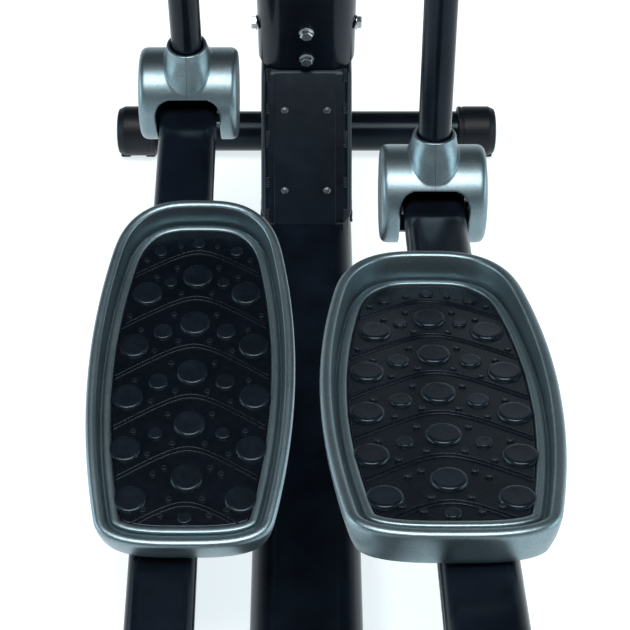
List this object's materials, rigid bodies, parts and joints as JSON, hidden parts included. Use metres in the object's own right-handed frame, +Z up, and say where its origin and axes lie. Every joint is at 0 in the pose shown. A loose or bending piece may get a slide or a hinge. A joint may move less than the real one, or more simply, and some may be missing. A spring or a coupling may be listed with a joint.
{
  "type": "elliptical trainer",
  "caption": "Rear-drive elliptical trainer: floor frame, leaning mast with swing arms and console, belt-driven flywheel, foot plates on coupled arms.",
  "frame": {"origin": "on the floor, at the centre of the footprint", "axes": "+X to the rider's right, +Y forwards to the console, +Z up"},
  "size_m": [0.5177, 1.622, 1.5295],
  "materials": {
    "enamel": "gloss black powder enamel",
    "black_plastic": "fine-grained black moulding",
    "dark_plastic": "satin moulding",
    "display_lens": "clear glossy lens over a grey-green display",
    "grey_plastic": "metallic blue-grey moulding",
    "rubber": "moulded rubber",
    "foam": "closed-cell foam sleeve",
    "zinc_steel": "bright zinc plate",
    "iron": "turned grey iron"
  },
  "bodies": {
    "frame": {"front_stabilizer": "enamel", "rear_stabilizer": "enamel", "front_cap_left": "black_plastic", "front_cap_right": "black_plastic", "rear_cap_left": "black_plastic", "rear_cap_right": "black_plastic", "main_rail": "enamel", "mast_socket": "enamel", "access_plate": "enamel", "mast": "enamel", "pivot_axle": "zinc_steel", "housing_left": "black_plastic", "housing_right": "black_plastic", "drive_bracket": "enamel", "flywheel_axle": "zinc_steel", "idler_bolt": "zinc_steel", "drive_belt": "rubber", "power_inlet": "dark_plastic", "fixed_handlebar": "enamel", "pulse_grip_left": "black_plastic", "pulse_grip_right": "black_plastic", "console_back": "black_plastic", "console_front": "black_plastic", "console_display": "display_lens"},
    "crank": {"crank_axle": "zinc_steel", "crank_arm_left": "enamel", "crank_arm_right": "enamel", "drive_pulley": "dark_plastic"},
    "flywheel": {"flywheel": "iron"},
    "idler": {"idler_pulley": "dark_plastic"},
    "brake": {"brake_magnet": "iron"},
    "swing_left": {"swing_arm_left": "enamel", "upper_handle_left": "enamel", "handle_grip_left": "foam", "pivot_cap_left": "black_plastic", "shroud_outer_left": "grey_plastic", "shroud_inner_left": "grey_plastic", "link_axle_left": "zinc_steel"},
    "pedal_left": {"pedal_arm_left": "enamel", "pedal_tray_left": "grey_plastic", "pedal_mat_left": "rubber", "crank_pin_left": "zinc_steel"},
    "roller_left": {"transport_roller_left": "rubber"},
    "swing_right": {"swing_arm_right": "enamel", "upper_handle_right": "enamel", "handle_grip_right": "foam", "pivot_cap_right": "black_plastic", "shroud_outer_right": "grey_plastic", "shroud_inner_right": "grey_plastic", "link_axle_right": "zinc_steel"},
    "pedal_right": {"pedal_arm_right": "enamel", "pedal_tray_right": "grey_plastic", "pedal_mat_right": "rubber", "crank_pin_right": "zinc_steel"},
    "roller_right": {"transport_roller_right": "rubber"},
    "key_start": {"button_start": "grey_plastic"},
    "key_mode": {"button_mode": "dark_plastic"},
    "key_enter": {"button_enter": "dark_plastic"},
    "key_down": {"button_down": "dark_plastic"},
    "key_up": {"button_up": "dark_plastic"}
  },
  "joints": [
    {"name": "crank_spin", "type": "hinge", "parent": "frame", "child": "crank", "pos_m": [0, -0.445, 0.265], "axis": [1, 0, 0], "continuous": true},
    {"name": "flywheel_spin", "type": "hinge", "parent": "frame", "child": "flywheel", "pos_m": [0, -0.665, 0.25], "axis": [1, 0, 0], "continuous": true},
    {"name": "idler_spin", "type": "hinge", "parent": "frame", "child": "idler", "pos_m": [0.029, -0.6176, 0.3199], "axis": [1, 0, 0], "continuous": true},
    {"name": "brake_pivot", "type": "hinge", "parent": "frame", "child": "brake", "pos_m": [0, -0.7772, 0.295], "axis": [1, 0, 0], "range_deg": [0, 3]},
    {"name": "swing_left_pivot", "type": "hinge", "parent": "frame", "child": "swing_left", "pos_m": [-0.125, 0.47, 0.939], "axis": [1, 0, 0], "range_deg": [-21, 7]},
    {"name": "swing_right_pivot", "type": "hinge", "parent": "frame", "child": "swing_right", "pos_m": [0.125, 0.47, 0.939], "axis": [1, 0, 0], "range_deg": [-7, 21]},
    {"name": "link_left", "type": "hinge", "parent": "swing_left", "child": "pedal_left", "pos_m": [-0.125, 0.54865, 0.25692], "axis": [1, 0, 0], "range_deg": [-4.3, 12.7]},
    {"name": "link_right", "type": "hinge", "parent": "swing_right", "child": "pedal_right", "pos_m": [0.125, 0.37682, 0.25875], "axis": [1, 0, 0], "range_deg": [-12.7, 4.3]},
    {"name": "roller_left_spin", "type": "hinge", "parent": "frame", "child": "roller_left", "pos_m": [-0.214, 0.7965, 0.0165], "axis": [1, 0, 0], "continuous": true},
    {"name": "roller_right_spin", "type": "hinge", "parent": "frame", "child": "roller_right", "pos_m": [0.214, 0.7965, 0.0165], "axis": [1, 0, 0], "continuous": true},
    {"name": "start_press", "type": "slide", "parent": "frame", "child": "key_start", "axis": [0, -0.8192, 0.5736], "range_m": [-0.001, 0], "stiffness_N_per_m": 400, "springref_m": 0.0002},
    {"name": "mode_press", "type": "slide", "parent": "frame", "child": "key_mode", "axis": [0, -0.8192, 0.5736], "range_m": [-0.001, 0], "stiffness_N_per_m": 400, "springref_m": 0.0002},
    {"name": "enter_press", "type": "slide", "parent": "frame", "child": "key_enter", "axis": [0, -0.8192, 0.5736], "range_m": [-0.001, 0], "stiffness_N_per_m": 400, "springref_m": 0.0002},
    {"name": "down_press", "type": "slide", "parent": "frame", "child": "key_down", "axis": [0, -0.8192, 0.5736], "range_m": [-0.001, 0], "stiffness_N_per_m": 400, "springref_m": 0.0002},
    {"name": "up_press", "type": "slide", "parent": "frame", "child": "key_up", "axis": [0, -0.8192, 0.5736], "range_m": [-0.001, 0], "stiffness_N_per_m": 400, "springref_m": 0.0002}
  ],
  "couplings": [
    {"joint": "flywheel_spin", "follows": "crank_spin", "ratio": 5.75},
    {"joint": "idler_spin", "follows": "crank_spin", "ratio": -8.2143},
    {"joint": "swing_right_pivot", "follows": "swing_left_pivot", "ratio": -1},
    {"joint": "link_left", "follows": "swing_left_pivot", "ratio": -0.6},
    {"joint": "link_right", "follows": "swing_left_pivot", "ratio": 0.6}
  ]
}
